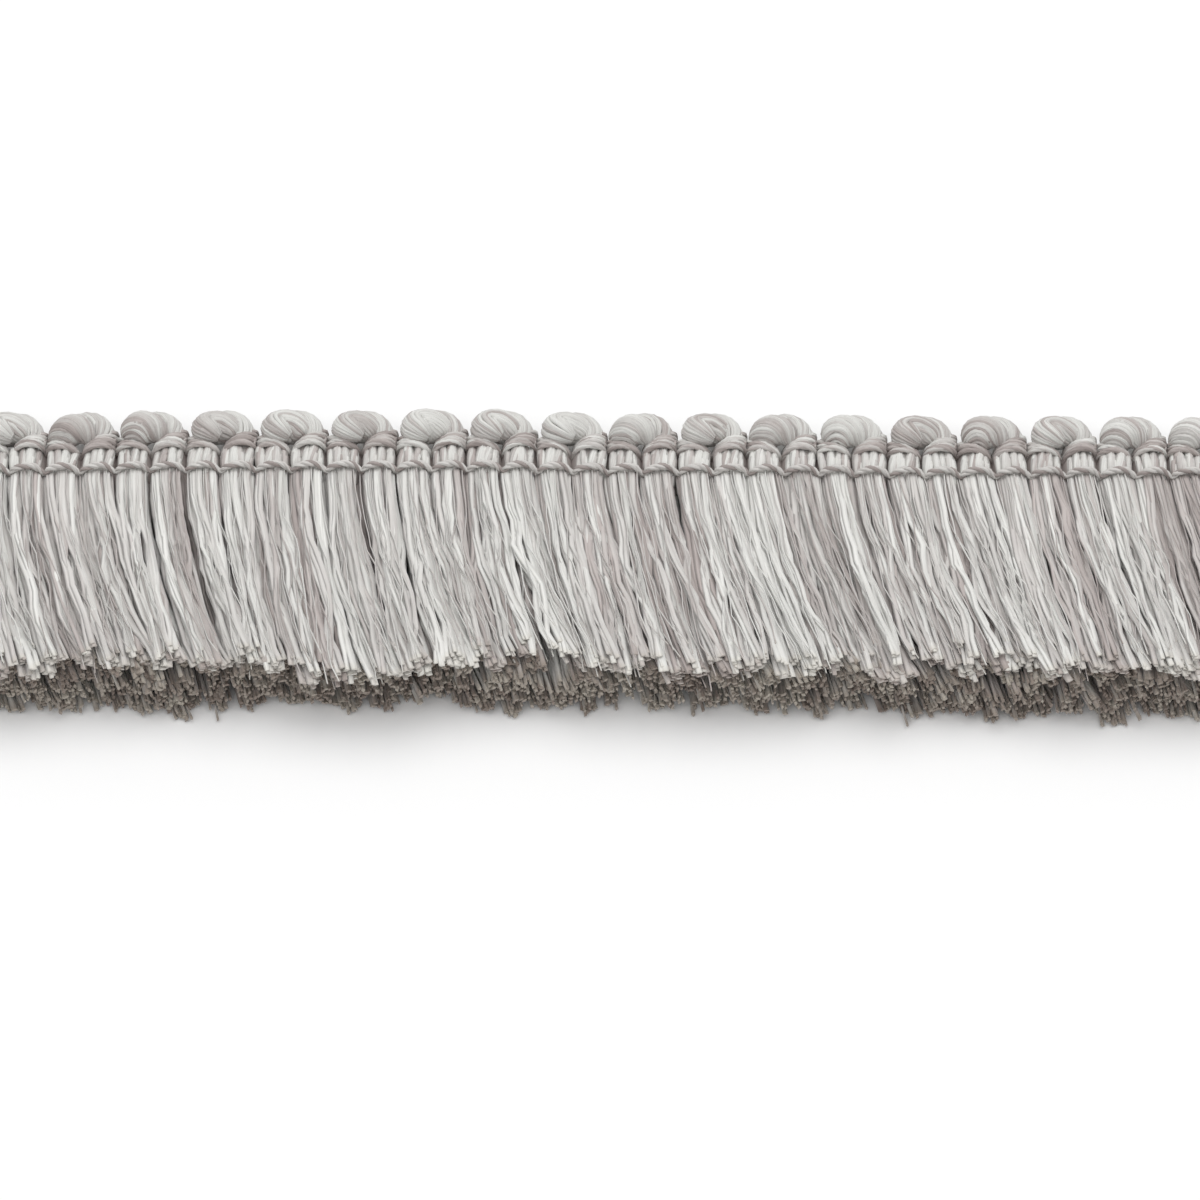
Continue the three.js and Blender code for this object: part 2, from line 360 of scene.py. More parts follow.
def grow(name, source, tree, sizes, slot, *nodes):
    """Runs a tree on a source mesh and keeps its result as a plain piece of the trim."""
    holder = bpy.data.objects.new(name + "_source", source)
    bpy.context.scene.collection.objects.link(holder)
    modifier = holder.modifiers.new(tree.name, "NODES")
    modifier.node_group = tree
    items = tree.interface.items_tree
    sockets = {item.name: item.identifier for item in items if item.in_out == "INPUT"}
    for label, value in sizes.items():
        modifier[sockets[label]] = value
    graph = bpy.context.evaluated_depsgraph_get()
    mesh = bpy.data.meshes.new_from_object(holder.evaluated_get(graph))
    bpy.data.objects.remove(holder)
    mesh.name = name
    piece = bpy.data.objects.new(name, mesh)
    bpy.context.scene.collection.objects.link(piece)
    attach(piece, "root")
    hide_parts(*nodes)


def points_mesh(name, rows, vectors, numbers, edges=()):
    """A mesh of points whose other columns are kept as attributes."""
    mesh = bpy.data.meshes.new(name)
    mesh.from_pydata([row["root"] for row in rows], list(edges), [])
    for column in vectors:
        layer = mesh.attributes.new(column, "FLOAT_VECTOR", "POINT")
        layer.data.foreach_set("vector", [part for row in rows for part in row[column]])
    for column in numbers:
        layer = mesh.attributes.new(column, "FLOAT", "POINT")
        layer.data.foreach_set("value", [row[column] for row in rows])
    return mesh


# Yarn finishes: the dyes, the tints of the cut ends, which are partly the darker look of cut
# fibre ends and partly painted shade, and the dyes at the shades from 0 to 1 that the tubes store.
IVORY = (0.76, 0.755, 0.725, 1)
SILVER = (0.615, 0.59, 0.567, 1)
MAUVE = (0.5, 0.45, 0.43, 1)
TAUPE = (0.375, 0.328, 0.312, 1)
CUT_END_TINT_AND_SHADE = (0.56, 0.51, 0.455, 1)
TIP_END_TINT_AND_SHADE = (0.93, 0.91, 0.88, 1)
UNTINTED = (1, 1, 1, 1)
DYES = [(0.0, TAUPE), (0.3, MAUVE), (0.6, SILVER), (1.0, IVORY)]

# What sets a tube's colour apart from the next one's, how fast its streaks and spots change
# along it, the span of the noise over which a streak goes from dark to bright, the light of
# the brightest one, where an end's tinting and painted shade are full, and how rough dark and
# bright streaks are.
COLOUR_APART = (3.1, 1.7)
STREAK_CHANGE = 1.6
SPOT_CHANGE = 6.0
STREAK_SPAN = (0.3, 0.7)
BRIGHTEST = 1.06
TINT_AND_SHADE_FULL = 0.995
STREAK_ROUGHNESS = (0.72, 0.5)


def mixed_yarn_group():
    """The colour and fine filaments of a yarn, from what its tubes store; partly painted shade at its
    end.
    """
    t = Tree("mixed_yarn", "ShaderNodeTree", {
        "Filaments": "NodeSocketFloat",
        "Mottle": "NodeSocketFloat",
        "Streak": "NodeSocketFloat",
        "End Tint And Shade": "NodeSocketColor",
        "End From": "NodeSocketFloat",
    }, {"Color": "NodeSocketColor", "Roughness": "NodeSocketFloat", "Height": "NodeSocketFloat"})
    given = t.given

    def stored(name, output):
        return t.add("ShaderNodeAttribute", attribute_name=name).outputs[output]

    number = stored("number", "Fac")
    along = stored("along", "Fac")
    own = t.combine(
        t.math("MULTIPLY", number, COLOUR_APART[0]),
        t.math("MULTIPLY", number, COLOUR_APART[1]),
        t.math("MULTIPLY", along, STREAK_CHANGE),
    )
    around = t.vector("ADD", t.scale(stored("side", "Vector"), given["Filaments"]), own)
    streak = t.noise(around, 1.0, 3.0)
    spotted = t.combine(0.0, 0.0, t.math("MULTIPLY", along, SPOT_CHANGE))
    spot = t.noise(t.vector("ADD", own, spotted), 1.0, 2.0)
    drift = t.math("MULTIPLY", t.math("SUBTRACT", spot, NOISE_MEAN), given["Mottle"])
    ramp = t.add("ShaderNodeValToRGB", t.math("ADD", stored("shade", "Fac"), drift))
    steps = ramp.color_ramp.elements
    while len(steps) < len(DYES):
        steps.new(0.5)
    for step, (at, colour) in zip(steps, DYES):
        step.position = at
        step.color = colour
    darkest = t.math("SUBTRACT", 1.0, given["Streak"])
    light = t.fit(streak, *STREAK_SPAN, darkest, BRIGHTEST)
    # Towards the cut end the colour takes the end tints: partly the darker look of cut fibre ends,
    # partly painted shade.
    near_end = t.fit(along, given["End From"], TINT_AND_SHADE_FULL, 0.0, 1.0)
    end = t.scale(t.vector("SUBTRACT", given["End Tint And Shade"], UNTINTED[:3]), near_end)
    end_tinted_and_shaded = t.vector("MULTIPLY", ramp.outputs[0], t.vector("ADD", end, UNTINTED[:3]))
    t.join(t.scale(end_tinted_and_shaded, light), t.result["Color"])
    t.join(t.fit(streak, *STREAK_SPAN, *STREAK_ROUGHNESS), t.result["Roughness"])
    t.join(streak, t.result["Height"])
    return t.tree


MIXED_YARN = mixed_yarn_group()


def yarn_material(name, filaments, mottle, streak, end_tint_and_shade, end_from, relief, sheen):
    material = bpy.data.materials.new(name)
    material.use_nodes = True
    nodes = material.node_tree.nodes
    links = material.node_tree.links
    shader = nodes["Principled BSDF"]
    shader.inputs["Sheen Weight"].default_value = sheen
    shader.inputs["Sheen Roughness"].default_value = 0.45
    shader.inputs["Specular IOR Level"].default_value = 0.35
    yarn = nodes.new("ShaderNodeGroup")
    yarn.node_tree = MIXED_YARN
    yarn.inputs["Filaments"].default_value = filaments
    yarn.inputs["Mottle"].default_value = mottle
    yarn.inputs["Streak"].default_value = streak
    yarn.inputs["End Tint And Shade"].default_value = end_tint_and_shade
    yarn.inputs["End From"].default_value = end_from
    bump = nodes.new("ShaderNodeBump")
    bump.inputs["Distance"].default_value = relief * MM
    bump.inputs["Strength"].default_value = 1.0
    links.new(yarn.outputs["Color"], shader.inputs["Base Color"])
    links.new(yarn.outputs["Roughness"], shader.inputs["Roughness"])
    links.new(yarn.outputs["Height"], bump.inputs["Height"])
    links.new(bump.outputs["Normal"], shader.inputs["Normal"])
    return material


# The cut floss darkens from 0.93 of a strand's length: partly the darker look of cut fibre ends, partly
# painted shade on the strands' sides at the cut face. The top floss darkens slightly from 0.97, also
# partly painted shade.
CUT_FLOSS = yarn_material("cut_floss", filaments=1.6, mottle=0.4, streak=0.12, end_tint_and_shade=CUT_END_TINT_AND_SHADE,
                          end_from=0.93, relief=0.06, sheen=0.3)
TOP_FLOSS = yarn_material("top_floss", filaments=1.6, mottle=0.4, streak=0.14, end_tint_and_shade=TIP_END_TINT_AND_SHADE,
                          end_from=0.97, relief=0.02, sheen=0.35)
BOUND_FLOSS = yarn_material("bound_floss", filaments=2.4, mottle=0.35, streak=0.18, end_tint_and_shade=UNTINTED,
                            end_from=0.97, relief=0.08, sheen=0.15)
LOOP_FLOSS = yarn_material("loop_floss", filaments=4.0, mottle=0.35, streak=0.24, end_tint_and_shade=UNTINTED,
                           end_from=0.97, relief=0.1, sheen=0.2)


# The brush of cut yarns: its layers from the surface up. Each row says how many layers it
# has and how many strands each yarn, the span of the brush's thickness that they fill, a
# strand's radius, its flatness, how far it turns and how its end flares, how far the ends
# stand back at full height, how rough the cut is from yarn to yarn and how ragged from
# strand to strand, how far a yarn spreads and what share of that it lifts, how pale it is,
# and the steps and sides of a strand.
YARN_LAYERS = [
    {"name": "brush_inner_yarns", "layers": 4, "strands": 9, "low": 0.0, "high": 0.68,
     "radius": 0.32, "flat": 0.55, "turn": 1.6, "flare": 1.1, "back": 0.9, "rough": 0.62,
     "ragged": 0.28, "spread": 0.66, "lift": 1.0, "shade": 0.5, "steps": 5, "sides": 4,
     "floss": CUT_FLOSS},
    {"name": "brush_face_yarns", "layers": 1, "strands": 12, "low": 0.68, "high": 0.86,
     "radius": 0.31, "flat": 0.45, "turn": 0.8, "flare": 1.1, "back": 1.1, "rough": 1.2,
     "ragged": 0.3, "spread": 0.66, "lift": 0.8, "shade": 0.45, "steps": 9, "sides": 5,
     "floss": CUT_FLOSS},
    {"name": "brush_top_yarns", "layers": 1, "strands": 11, "low": 0.84, "high": 1.0,
     "radius": 0.38, "flat": 0.3, "turn": 0.3, "flare": 1.0, "back": 0.5, "rough": 1.3,
     "ragged": 0.2, "spread": 0.8, "lift": 0.6, "shade": 0.47, "steps": 11, "sides": 5,
     "floss": TOP_FLOSS},
    {"name": "brush_pale_yarns", "layers": 1, "strands": 4, "low": 1.0, "high": 1.05,
     "radius": 0.34, "flat": 0.28, "turn": 0.2, "flare": 1.0, "back": 0.5, "rough": 1.5,
     "ragged": 0.2, "spread": 0.4, "lift": 0.4, "shade": 0.78, "steps": 13, "sides": 5,
     "floss": TOP_FLOSS},
    {"name": "brush_loose_hairs", "layers": 1, "strands": 4, "low": 0.96, "high": 1.05,
     "radius": 0.09, "flat": 1.0, "turn": 0.0, "flare": 1.0, "back": 0.8, "rough": 2.4,
     "ragged": 0.45, "spread": 1.3, "lift": 1.0, "shade": 0.6, "steps": 14, "sides": 3,
     "floss": TOP_FLOSS},
]

# Wanders that neighbouring yarns share: a number that sets each apart, how far it goes,
# over what length of the trim, and how fast it changes through the brush's thickness.
WANDERS = {
    "lean": {"number": 1, "far": 1.1, "length": 4.5, "through": 1.0},
    "set_back": {"number": 2, "far": 0.7, "length": 5.0, "through": 1.0},
    "thickness": {"number": 3, "far": 0.5, "length": 7.0, "through": 1.0},
    "shade": {"number": 4, "far": 0.35, "length": 2.2, "through": 5.0},
    "broad_shade": {"number": 5, "far": 0.22, "length": 6.5, "through": 2.0},
}
WANDER_THROUGH = 1.7
WANDER_APART = 11.3

# A yarn's own place, lean, cut, droop and shade, and the share of the brush's thickness
# from which LIE sets the topmost yarns back.
YARNS_PER_RIB = 3
PLACE_VARIES = 0.3
LEVEL_VARIES = 0.25
LEAN_VARIES = 0.65
STRAY_SHARE = 0.1
STRAY_LEAN = 3.0
TOP_FROM = 0.6
CUT_VARIES = (-1.1, 0.6)
DROOP = 0.6
YARN_SHADE_VARIES = 0.12

# How its strands are gathered under the binding and spread out at their ends, and how
# many of them are longer.
GOLDEN_TURN = 2.399963
TURN_VARIES = 0.3
ROOT_FAN = 0.8
YARN_FAN = 1.25
ROOT_GATHER = 0.82
ROOT_SINK = 0.75
ROOT_CROWN = 0.24
ROOT_LIFT = 0.4
ROOT_Y = 1.0
END_VARIES = 0.12
LONG_SHARE = 0.02
LONGER = (0.4, 1.4)

# A strand's own shade and radius, the steps of the numbers that set strands, yarns and
# layers apart, how far and how often strands wave, and how near to the surface they lie.
STRAND_SHADE_VARIES = 0.09
PALE_SHARE = 0.12
PALER = 0.35
DARKEST = 0.1
STRAND_RADIUS = (0.75, 1.25)
STRAND_NUMBERS = 0.713
YARN_NUMBERS = 0.37
LAYER_NUMBERS = 100.0
YARN_WAVE = 3.2
OWN_WAVE = 1.9
WAVES = 2.6
LOWEST = 0.45


def wander(name, x, share):
    """A smooth wander at x along the trim and at a share of the brush's thickness."""
    row = WANDERS[name]
    depth = share * row["through"] * WANDER_THROUGH
    at = Vector((x / row["length"], depth, row["number"] * WANDER_APART))
    return row["far"] * 2.0 * noise.noise(at)


def yarn_strands(x, share, row, rng, number):
    """The strands of one cut yarn, from under the binding to its cut end."""
    rib_centre = (math.floor(x / RIB_PITCH) + 0.5) * RIB_PITCH
    lean = lie("lean", x) + wander("lean", x, share) + rng.gauss(0, LEAN_VARIES)
    if rng.random() < STRAY_SHARE:
        lean += rng.uniform(-STRAY_LEAN, STRAY_LEAN)
    set_back = lie("set_back", x) + row["back"] * share + wander("set_back", x, share)
    set_back += lie("top_back", x) * max(0.0, share - TOP_FROM) / (1 - TOP_FROM)
    uneven = rng.uniform(*CUT_VARIES) * row["rough"]
    length = FRINGE_LENGTH - set_back + uneven
    droop = max(0.0, uneven) * DROOP
    shade = row["shade"] + wander("shade", x, share) + wander("broad_shade", x, share)
    shade += rng.uniform(-YARN_SHADE_VARIES, YARN_SHADE_VARIES)
    thickness = BRUSH_THICKNESS + wander("thickness", x, share)
    strands = []
    for k in range(row["strands"]):
        turn = k * GOLDEN_TURN + rng.uniform(-TURN_VARIES, TURN_VARIES)
        reach = math.sqrt((k + 0.5) / row["strands"]) * row["spread"]
        side = math.cos(turn) * reach
        up = math.sin(turn) * reach * row["lift"]
        start_x = rib_centre + (x - rib_centre) * ROOT_GATHER + side * ROOT_FAN
        off_centre = min(1.0, abs(start_x - rib_centre) / (RIB_PITCH / 2))
        crown = 1 - ROOT_CROWN * off_centre ** 2
        start_z = (share * (ROOT_THICKNESS - ROOT_SINK) + up * ROOT_LIFT) * crown
        end_z = share * thickness + up * YARN_FAN - droop
        root = place(start_x, ROOT_Y, max(row["radius"], start_z))
        end_x = start_x + lean + side * (YARN_FAN - ROOT_FAN) + rng.gauss(0, END_VARIES)
        longer = rng.uniform(*LONGER) if rng.random() < LONG_SHARE else 0.0
        end_y = rng.gauss(0, row["ragged"]) - length - longer
        tip = place(start_x, end_y, max(row["radius"], end_z))
        tip.x += (end_x - start_x) * MM
        own = rng.gauss(0, STRAND_SHADE_VARIES) + (PALER if rng.random() < PALE_SHARE else 0.0)
        strands.append({
            "root": root,
            "reach": tip - root,
            "thick": row["radius"] * rng.uniform(*STRAND_RADIUS) * MM,
            "shade": min(1.0, max(DARKEST, shade + own)),
            "number": number + k * STRAND_NUMBERS,
            "yarn": number,
        })
    return strands


def make_yarns(row, seed):
    rng = random.Random(seed)
    count = RIB_COUNT * YARNS_PER_RIB
    strands = []
    for level in range(row["layers"]):
        for i in range(count):
            part = (level + 0.5 + rng.uniform(-LEVEL_VARIES, LEVEL_VARIES)) / row["layers"]
            share = row["low"] + (row["high"] - row["low"]) * part
            at = i + 0.5 + 0.5 * (level % 2) + rng.uniform(-PLACE_VARIES, PLACE_VARIES)
            x = at * TRIM_LENGTH / (count + 0.5)
            number = seed * LAYER_NUMBERS + (level * count + i) * YARN_NUMBERS
            strands += yarn_strands(x, share, row, rng, number)
    source = points_mesh(row["name"], strands, ("root", "reach"), ("thick", "shade", "number", "yarn"))
    grow(row["name"], source, CUT_YARNS, {
        "Steps": row["steps"],
        "Sides": row["sides"],
        "Flatness": row["flat"],
        "Turn": row["turn"],
        "Lean Power": LEAN_POWER,
        "Thicken Power": THICKEN_POWER,
        "Yarn Wave": YARN_WAVE * MM,
        "Own Wave": OWN_WAVE * MM,
        "Waves": WAVES,
        "Flare": row["flare"],
        "Floor": CORNER.z + LOWEST * MM,
        "Seed": float(seed),
        "Material": row["floss"],
    }, "fringe_yarn", "brush")


for i, row in enumerate(YARN_LAYERS):
    make_yarns(row, i + 1)


# Bundles that follow a guide
def smooth_path(points, steps):
    """A curve through rows of numbers, each row eased into the next."""
    result = []
    last = len(points) - 1
    for i in range(steps + 1):
        along = i / steps * last
        k = min(last - 1, int(along))
        u = along - k
        a, b, c, d = (points[min(last, max(0, k + j))] for j in (-1, 0, 1, 2))
        result.append([
            0.5 * (2 * q + (r - p) * u + (2 * p - 5 * q + 4 * r - s) * u * u
                   + (3 * q - p - 3 * r + s) * u ** 3)
            for p, q, r, s in zip(a, b, c, d)
        ])
    return result


def guide_mesh(name, guides):
    """Guides as polylines: each is a list of x, y, z and thickness rows and has a shade."""
    rows, edges = [], []
    for number, guide in enumerate(guides):
        for i, (x, y, z, thick) in enumerate(guide["points"]):
            if i:
                edges.append((len(rows) - 1, len(rows)))
            rows.append({"root": place(x, y, z), "thick": thick * MM, "shade": guide["shade"],
                         "number": float(number)})
    return points_mesh(name, rows, (), ("thick", "shade", "number"), edges)


# A loop's two bundles, the fat one in front and the one that turns down behind it: x from
# the loop's left side, y above the heading, z above the surface, and the radius as a share
# of the full one. In some loops the front one curls out of the pinch between two ribs, and
# in others it lies level.
LOOP_CURLED = [
    (4.7, -0.1, 4.3, 0.34),
    (3.3, 0.5, 4.5, 0.82),
    (2.4, 1.5, 3.8, 1.08),
    (3.7, 2.35, 3.3, 1.1),
    (5.4, 2.3, 2.9, 0.98),
    (6.6, 1.8, 2.6, 0.78),
    (7.2, 1.0, 2.5, 0.45),
]
LOOP_LEVEL = [
    (0.2, 0.9, 2.6, 0.38),
    (1.1, 1.2, 3.3, 0.76),
    (2.3, 1.45, 3.9, 1.02),
    (3.5, 1.45, 4.1, 1.06),
    (4.5, 1.15, 4.0, 0.9),
    (5.2, 0.6, 3.7, 0.62),
    (5.6, 0.0, 3.3, 0.36),
]
LOOP_BACK = [
    (2.2, 2.7, 2.5, 0.45),
    (3.9, 3.4, 2.6, 0.78),
    (5.7, 3.2, 2.7, 0.86),
    (6.9, 2.3, 2.8, 0.8),
    (7.4, 1.2, 2.9, 0.65),
    (7.3, 0.1, 2.9, 0.45),
]
LOOP_WIDTH = 0.9
FRONT_STEPS = 16
BACK_STEPS = 10

# How many loops lie level, and how level those and the curled ones are, how full and pale
# the bundles are, and the twist of a curled loop and how much a level one adds to it.
LEVEL_SHARE = 0.6
LEVEL = (0.75, 1.0)
CURLED = (0.0, 0.15)
LOOP_FULLNESS = (0.91, 1.0)
LOOP_SHADE = 0.78
LOOP_SHADE_VARIES = (-0.28, 0.22)
BACK_PALER = 0.15
LOOP_TWIST = 1.3
LEVEL_TWIST = 1.6
TWIST_VARIES = 0.6


def make_loops():
    rng = random.Random(31)
    for i in range(LOOP_COUNT):
        middle = (i + 0.5) * LOOP_PITCH
        level = rng.uniform(*LEVEL) if rng.random() < LEVEL_SHARE else rng.uniform(*CURLED)
        front = [
            [curled + (flat - curled) * level for curled, flat in zip(*rows)]
            for rows in zip(LOOP_CURLED, LOOP_LEVEL)
        ]
        guides = []
        for rows, steps in ((front, FRONT_STEPS), (LOOP_BACK, BACK_STEPS)):
            size = LOOP_RADIUS * rng.uniform(*LOOP_FULLNESS)
            points = [
                (middle + (x - LOOP_PITCH / 2) * LOOP_WIDTH, HEADING_DEPTH + y, z, size * share)
                for x, y, z, share in smooth_path(rows, steps)
            ]
            guides.append({"points": points, "shade": LOOP_SHADE + rng.uniform(*LOOP_SHADE_VARIES)})
        guides[1]["shade"] += BACK_PALER
        name = f"loop_{i + 1:02d}"
        grow(name + "_yarns", guide_mesh(name, guides), BUNDLES, {
            "Fibres": 26,
            "Sides": 5,
            "Twist": LOOP_TWIST + LEVEL_TWIST * level + rng.uniform(-TWIST_VARIES, TWIST_VARIES),
            "Overlap": 1.5,
            "Loose": 0.6,
            "Bands": 3.0,
            "Core": 0.86,
            "Seed": i * 3.0,
            "Material": LOOP_FLOSS,
        }, "loop_yarn", name)


make_loops()


# The bound heading: the section of its packed inside as y and z, how many steps a rib has,
# how round it is, what share of the height its creases take away from the points over
# FLAT_BELOW, the shades of a crease and of what a rib adds, which paint shade into the
# creases, and how fine its filaments are.
INSIDE_SECTION = [
    (-1.2, 0.3), (5.0, 0.3), (5.3, 1.5), (5.2, 2.7), (4.6, 3.5), (2.4, 3.55), (0.6, 3.3), (-1.2, 2.6),
]
RIB_STEPS = 8
RIB_ROUNDNESS = 0.5
CREASE_DEPTH = 0.5
FLAT_BELOW = 1.0
CREASE_PAINTED_SHADE = 0.1
RIB_SHADE = 0.35
INSIDE_FILAMENTS = 300.0


def make_inside():
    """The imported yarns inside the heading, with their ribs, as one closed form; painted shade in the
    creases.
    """
    columns = RIB_COUNT * RIB_STEPS
    corners, faces, shades = [], [], []
    for i in range(columns + 1):
        x = i / columns * TRIM_LENGTH
        bulge = abs(math.sin(math.pi * x / RIB_PITCH)) ** RIB_ROUNDNESS
        height = 1 - CREASE_DEPTH + CREASE_DEPTH * bulge
        corners += [place(x, y, z * height if z > FLAT_BELOW else z) for y, z in INSIDE_SECTION]
        # Painted shade: the creases are darker than the ribs.
        shades += [CREASE_PAINTED_SHADE + RIB_SHADE * bulge] * len(INSIDE_SECTION)
    size = len(INSIDE_SECTION)
    for i in range(columns):
        for k in range(size):
            a = i * size + k
            b = i * size + (k + 1) % size
            faces.append((a, a + size, b + size, b))
    faces += [tuple(range(size)), tuple(columns * size + k for k in reversed(range(size)))]
    mesh = bpy.data.meshes.new("heading_inside")
    mesh.from_pydata(corners, [], faces)
    stored = {"shade": shades, "number": [0.0] * len(corners), "along": [0.5] * len(corners)}
    for name, values in stored.items():
        mesh.attributes.new(name, "FLOAT", "POINT").data.foreach_set("value", values)
    sides = mesh.attributes.new("side", "FLOAT_VECTOR", "POINT")
    sides.data.foreach_set("vector", [part for corner in corners for part in corner * INSIDE_FILAMENTS])
    mesh.materials.append(BOUND_FLOSS)
    piece = bpy.data.objects.new("heading_inside", mesh)
    bpy.context.scene.collection.objects.link(piece)
    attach(piece, "root")
    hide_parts("heading")


# How far the ends of a thread over a rib tuck in below its creases, and how near its
# shoulders come to its full height.
THREAD_TUCK = 1.1
SHOULDER = 0.65


def across_rib(rib, y, rise, start, high, end, thick):
    """A thread over one rib, from crease to crease: its rise is to the right."""
    left = rib * RIB_PITCH
    line = (
        (0.0, start - THREAD_TUCK, 0.6),
        (0.05, start, 0.85),
        (0.19, (1 - SHOULDER) * start + SHOULDER * high, 1.0),
        (0.5, high, 1.1),
        (0.81, (1 - SHOULDER) * end + SHOULDER * high, 1.0),
        (0.95, end, 0.85),
        (1.0, end - THREAD_TUCK, 0.6),
    )
    return [(left + u * RIB_PITCH, y + rise * (u - 0.5), z, thick * fat) for u, z, fat in line]


# The collar's twisted threads on the first and the second rib of a pair, from the lowest
# to the highest: how many, where they lie, how they rise to the right, and their heights
# over the rib, at the loop's crease and at the pinch under the middle of the loop. Then
# how each thread varies, and how many of them are paler.
COLLAR = [
    {"threads": 3, "y": (4.2, 5.2), "rise": (-0.4, -1.7), "high": (4.25, 3.6),
     "crease": (2.9, 2.9), "pinch": (2.3, 1.8)},
    {"threads": 5, "y": (4.25, 6.15), "rise": (0.6, 2.2), "high": (4.4, 3.6),
     "crease": (2.9, 3.0), "pinch": (2.3, 1.7)},
]
COLLAR_THREAD = 0.39
COLLAR_Y_VARIES = 0.08
COLLAR_RISE_VARIES = 0.25
COLLAR_HIGH_VARIES = (-0.12, 0.08)
COLLAR_THREAD_VARIES = (0.9, 1.15)
COLLAR_SHADE = 0.28
COLLAR_PALE_SHARE = 0.18
COLLAR_PALER = 0.45
COLLAR_STEPS = 12


def between(ends, share):
    return ends[0] + (ends[1] - ends[0]) * share


def collar_threads(rib, rng):
    """The collar over one rib."""
    second = rib % RIBS_PER_LOOP
    row = COLLAR[second]
    threads = []
    for k in range(row["threads"]):
        part = k / (row["threads"] - 1)
        ends = [between(row["crease"], part), between(row["pinch"], part)]
        if second:
            ends.reverse()
        y = between(row["y"], part) + rng.uniform(-COLLAR_Y_VARIES, COLLAR_Y_VARIES)
        rise = between(row["rise"], part) + rng.uniform(-COLLAR_RISE_VARIES, COLLAR_RISE_VARIES)
        high = between(row["high"], part * part) + rng.uniform(*COLLAR_HIGH_VARIES)
        thick = COLLAR_THREAD * rng.uniform(*COLLAR_THREAD_VARIES)
        path = across_rib(rib, y, rise, ends[0], high, ends[1], thick)
        shade = COLLAR_SHADE + rng.uniform(-COLLAR_SHADE, COLLAR_SHADE)
        shade += COLLAR_PALER if rng.random() < COLLAR_PALE_SHARE else 0.0
        threads.append({"points": smooth_path(path, COLLAR_STEPS), "shade": shade})
    return threads


# The thread ends at each cut end: their rows up and above, the first one's place, their
# pitch, and how they vary.
CUT_ROWS = (7, 4)
CUT_FIRST = (0.1, 0.65)
CUT_PITCH = 0.75
CUT_PLACE_VARIES = 0.15
CUT_REACH = 0.4
CUT_RADIUS = 0.4
CUT_ROOT_RADIUS = 0.36
CUT_SHADE = 0.45
CUT_SHADE_VARIES = 0.3


def cut_threads(rng):
    """The ends of the heading's own threads, where the trim is cut to length."""
    threads = []
    for x, out in ((0.0, -1.0), (TRIM_LENGTH, 1.0)):
        for i in range(CUT_ROWS[0]):
            for k in range(CUT_ROWS[1]):
                y = CUT_FIRST[0] + CUT_PITCH * i + rng.uniform(-CUT_PLACE_VARIES, CUT_PLACE_VARIES)
                z = CUT_FIRST[1] + CUT_PITCH * k + rng.uniform(-CUT_PLACE_VARIES, CUT_PLACE_VARIES)
                reach = out * rng.uniform(0.0, CUT_REACH)
                points = [
                    (x - out, y, z, CUT_ROOT_RADIUS),
                    (x, y, z, CUT_RADIUS),
                    (x + reach, y, z, CUT_RADIUS),
                ]
                shade = CUT_SHADE + rng.uniform(-CUT_SHADE_VARIES, CUT_SHADE_VARIES)
                threads.append({"points": points, "shade": shade})
    return threads


# The bare yarns of a rib: their places over its width, and the line of one, as shares of
# its tilt, y, heights from its top, and shares of its radius. Away from the rib's middle
# the top is lower, by BARE_DROP at the share BARE_DROP_AT of the rib's width.
BARE_YARNS = (-0.3, -0.1, 0.1, 0.3)
BARE_LINE = [
    (-1.0, -0.8, -1.4, 0.8),
    (-0.5, 0.6, -0.8, 0.85),
    (0.0, 1.9, -0.5, 1.0),
    (0.5, 3.2, -0.52, 1.0),
    (1.0, 4.5, -0.75, 0.8),
]
BARE_RADIUS = 0.65
BARE_RADIUS_VARIES = (0.75, 1.3)
BARE_PLACE_VARIES = 0.15
BARE_TILT = 0.35
BARE_TOP = 4.1
BARE_TOP_VARIES = 0.1
BARE_DROP = 0.6
BARE_DROP_AT = 0.33
BARE_SHADE = 0.93
BARE_SHADE_VARIES = (-0.35, 0.15)
BARE_STEPS = 6

# The stitch between two loops: x from its place, y, z and radius. Then its place before
# the crease, and its shade, kept dark as painted shade for the notch at the crease.
STITCH = [
    (-0.1, 4.5, 3.0, 0.24),
    (0.0, 5.2, 3.4, 0.3),
    (0.1, 6.0, 3.1, 0.28),
    (0.0, 6.4, 2.4, 0.2),
]
STITCH_BEFORE = 0.3
STITCH_PAINTED_SHADE = 0.15
STITCH_STEPS = 8

# The binding: one thread over all the ribs, so the ends that would tuck in are left out
BINDING = {"y": 0.6, "rise": 0.55, "start": 3.35, "high": 4.5, "end": 3.35, "thick": 0.46}
BINDING_SHADE = 0.48
BINDING_STEPS = 12


def bare_yarn(centre, share, rng):
    """One bare yarn of a rib."""
    x = centre + share * RIB_PITCH + rng.uniform(-BARE_PLACE_VARIES, BARE_PLACE_VARIES)
    tilt = rng.uniform(-BARE_TILT, BARE_TILT)
    radius = BARE_RADIUS * rng.uniform(*BARE_RADIUS_VARIES)
    top = BARE_TOP - BARE_DROP * (abs(share) / BARE_DROP_AT) ** 2
    top += rng.uniform(-BARE_TOP_VARIES, BARE_TOP_VARIES)
    path = [(x + tilt * lean, y, top + drop, radius * fat) for lean, y, drop, fat in BARE_LINE]
    shade = BARE_SHADE + rng.uniform(*BARE_SHADE_VARIES)
    return {"points": smooth_path(path, BARE_STEPS), "shade": shade}


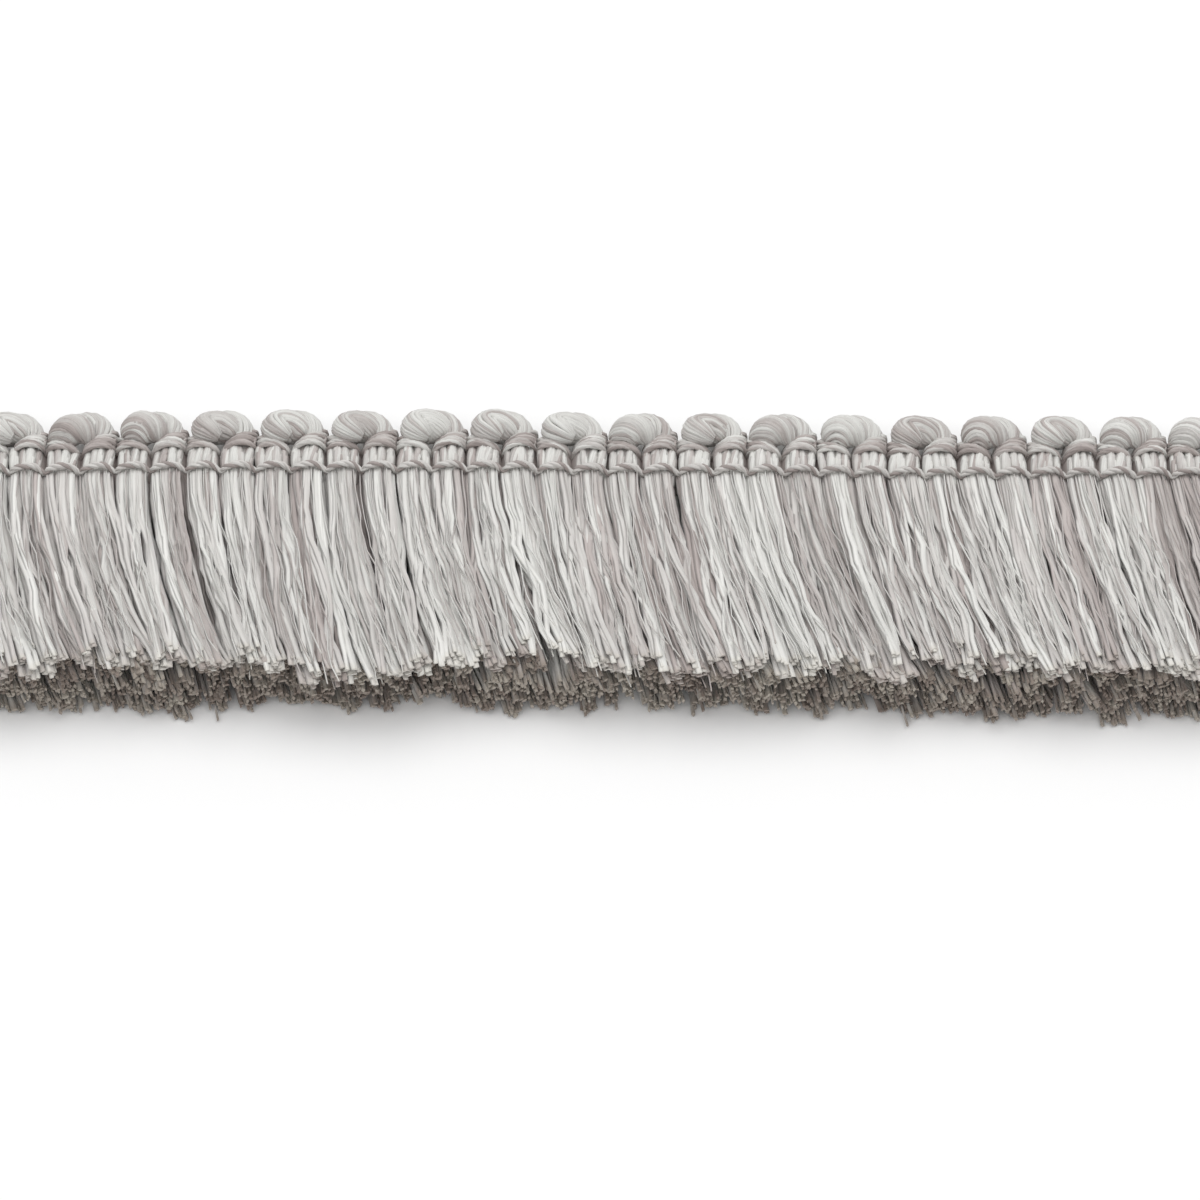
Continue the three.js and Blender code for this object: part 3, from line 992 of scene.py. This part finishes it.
def make_heading():
    rng = random.Random(57)
    bare, collar, binding = [], [], []
    for rib in range(RIB_COUNT):
        centre = (rib + 0.5) * RIB_PITCH
        bare += [bare_yarn(centre, share, rng) for share in BARE_YARNS]
        collar += collar_threads(rib, rng)
        if rib % RIBS_PER_LOOP:
            middle = (rib + 1) * RIB_PITCH - STITCH_BEFORE
            stitch = [(middle + x, y, z, thick) for x, y, z, thick in STITCH]
            # The stitch's dark colour is painted shade for the notch at the crease.
            collar.append({"points": smooth_path(stitch, STITCH_STEPS), "shade": STITCH_PAINTED_SHADE})
        binding += across_rib(rib, **BINDING)[1:-2]
    bare += cut_threads(rng)
    grow("heading_bare_yarns", guide_mesh("bare_yarns", bare), BUNDLES, {
        "Fibres": 7, "Sides": 4, "Twist": 2.2, "Overlap": 1.3, "Loose": 0.8, "Bands": 2.4,
        "Core": 0.84, "Seed": 4.0, "Material": BOUND_FLOSS,
    }, "heading_yarn", "heading")
    grow("heading_collar", guide_mesh("collar", collar), BUNDLES, {
        "Fibres": 4, "Sides": 4, "Twist": 9.0, "Overlap": 0.85, "Loose": 0.2, "Bands": 1.5,
        "Core": 0.6, "Seed": 5.0, "Material": BOUND_FLOSS,
    }, "heading_yarn", "heading")
    thread = {"points": smooth_path(binding, RIB_COUNT * BINDING_STEPS), "shade": BINDING_SHADE}
    grow("heading_binding", guide_mesh("binding", [thread]), BUNDLES, {
        "Fibres": 3, "Sides": 5, "Twist": 420.0, "Overlap": 0.52, "Loose": 0.0, "Bands": 1.5,
        "Core": 0.6, "Seed": 6.0, "Material": BOUND_FLOSS,
    }, "heading_yarn", "heading")
    make_inside()


make_heading()


# The floor and the light
FLOOR_REACH = 1.5
FLOOR_BELOW = 0.02


def make_floor():
    mesh = bpy.data.meshes.new("floor")
    corners = [(x * FLOOR_REACH, y * FLOOR_REACH, 0) for x, y in ((-1, -1), (1, -1), (1, 1), (-1, 1))]
    mesh.from_pydata(corners, [], [(0, 1, 2, 3)])
    floor = bpy.data.objects.new("floor", mesh)
    bpy.context.scene.collection.objects.link(floor)
    floor.location.z = CAD_BOX[0].z - FLOOR_BELOW * MM
    material = bpy.data.materials.new("pale_floor")
    material.use_nodes = True
    shader = material.node_tree.nodes["Principled BSDF"]
    shader.inputs["Base Color"].default_value = (0.9, 0.9, 0.9, 1)
    shader.inputs["Roughness"].default_value = 0.9
    shader.inputs["Specular IOR Level"].default_value = 0.1
    mesh.materials.append(material)


LIGHTS = [
    {"name": "key", "azimuth": 165.0, "elevation": 66.0, "distance": 0.9, "size": 0.8, "power": 3.9},
    {"name": "fill", "azimuth": -40.0, "elevation": 60.0, "distance": 1.0, "size": 0.7, "power": 0.9},
]
SKY = 0.74


def make_lights():
    for row in LIGHTS:
        data = bpy.data.lights.new(row["name"], "AREA")
        data.size = row["size"]
        data.energy = row["power"]
        lamp = bpy.data.objects.new(row["name"], data)
        bpy.context.scene.collection.objects.link(lamp)
        azimuth = math.radians(row["azimuth"])
        elevation = math.radians(row["elevation"])
        level = math.cos(elevation)
        back = Vector((math.sin(azimuth) * level, -math.cos(azimuth) * level, math.sin(elevation)))
        lamp.location = back * row["distance"]
        lamp.rotation_mode = "QUATERNION"
        lamp.rotation_quaternion = (-back).to_track_quat("-Z", "Y")
    world = bpy.data.worlds.new("studio")
    world.use_nodes = True
    world.node_tree.nodes["Background"].inputs["Color"].default_value = (1, 1, 1, 1)
    world.node_tree.nodes["Background"].inputs["Strength"].default_value = SKY
    bpy.context.scene.world = world
    bpy.context.scene.view_settings.view_transform = "Standard"


make_floor()
make_lights()
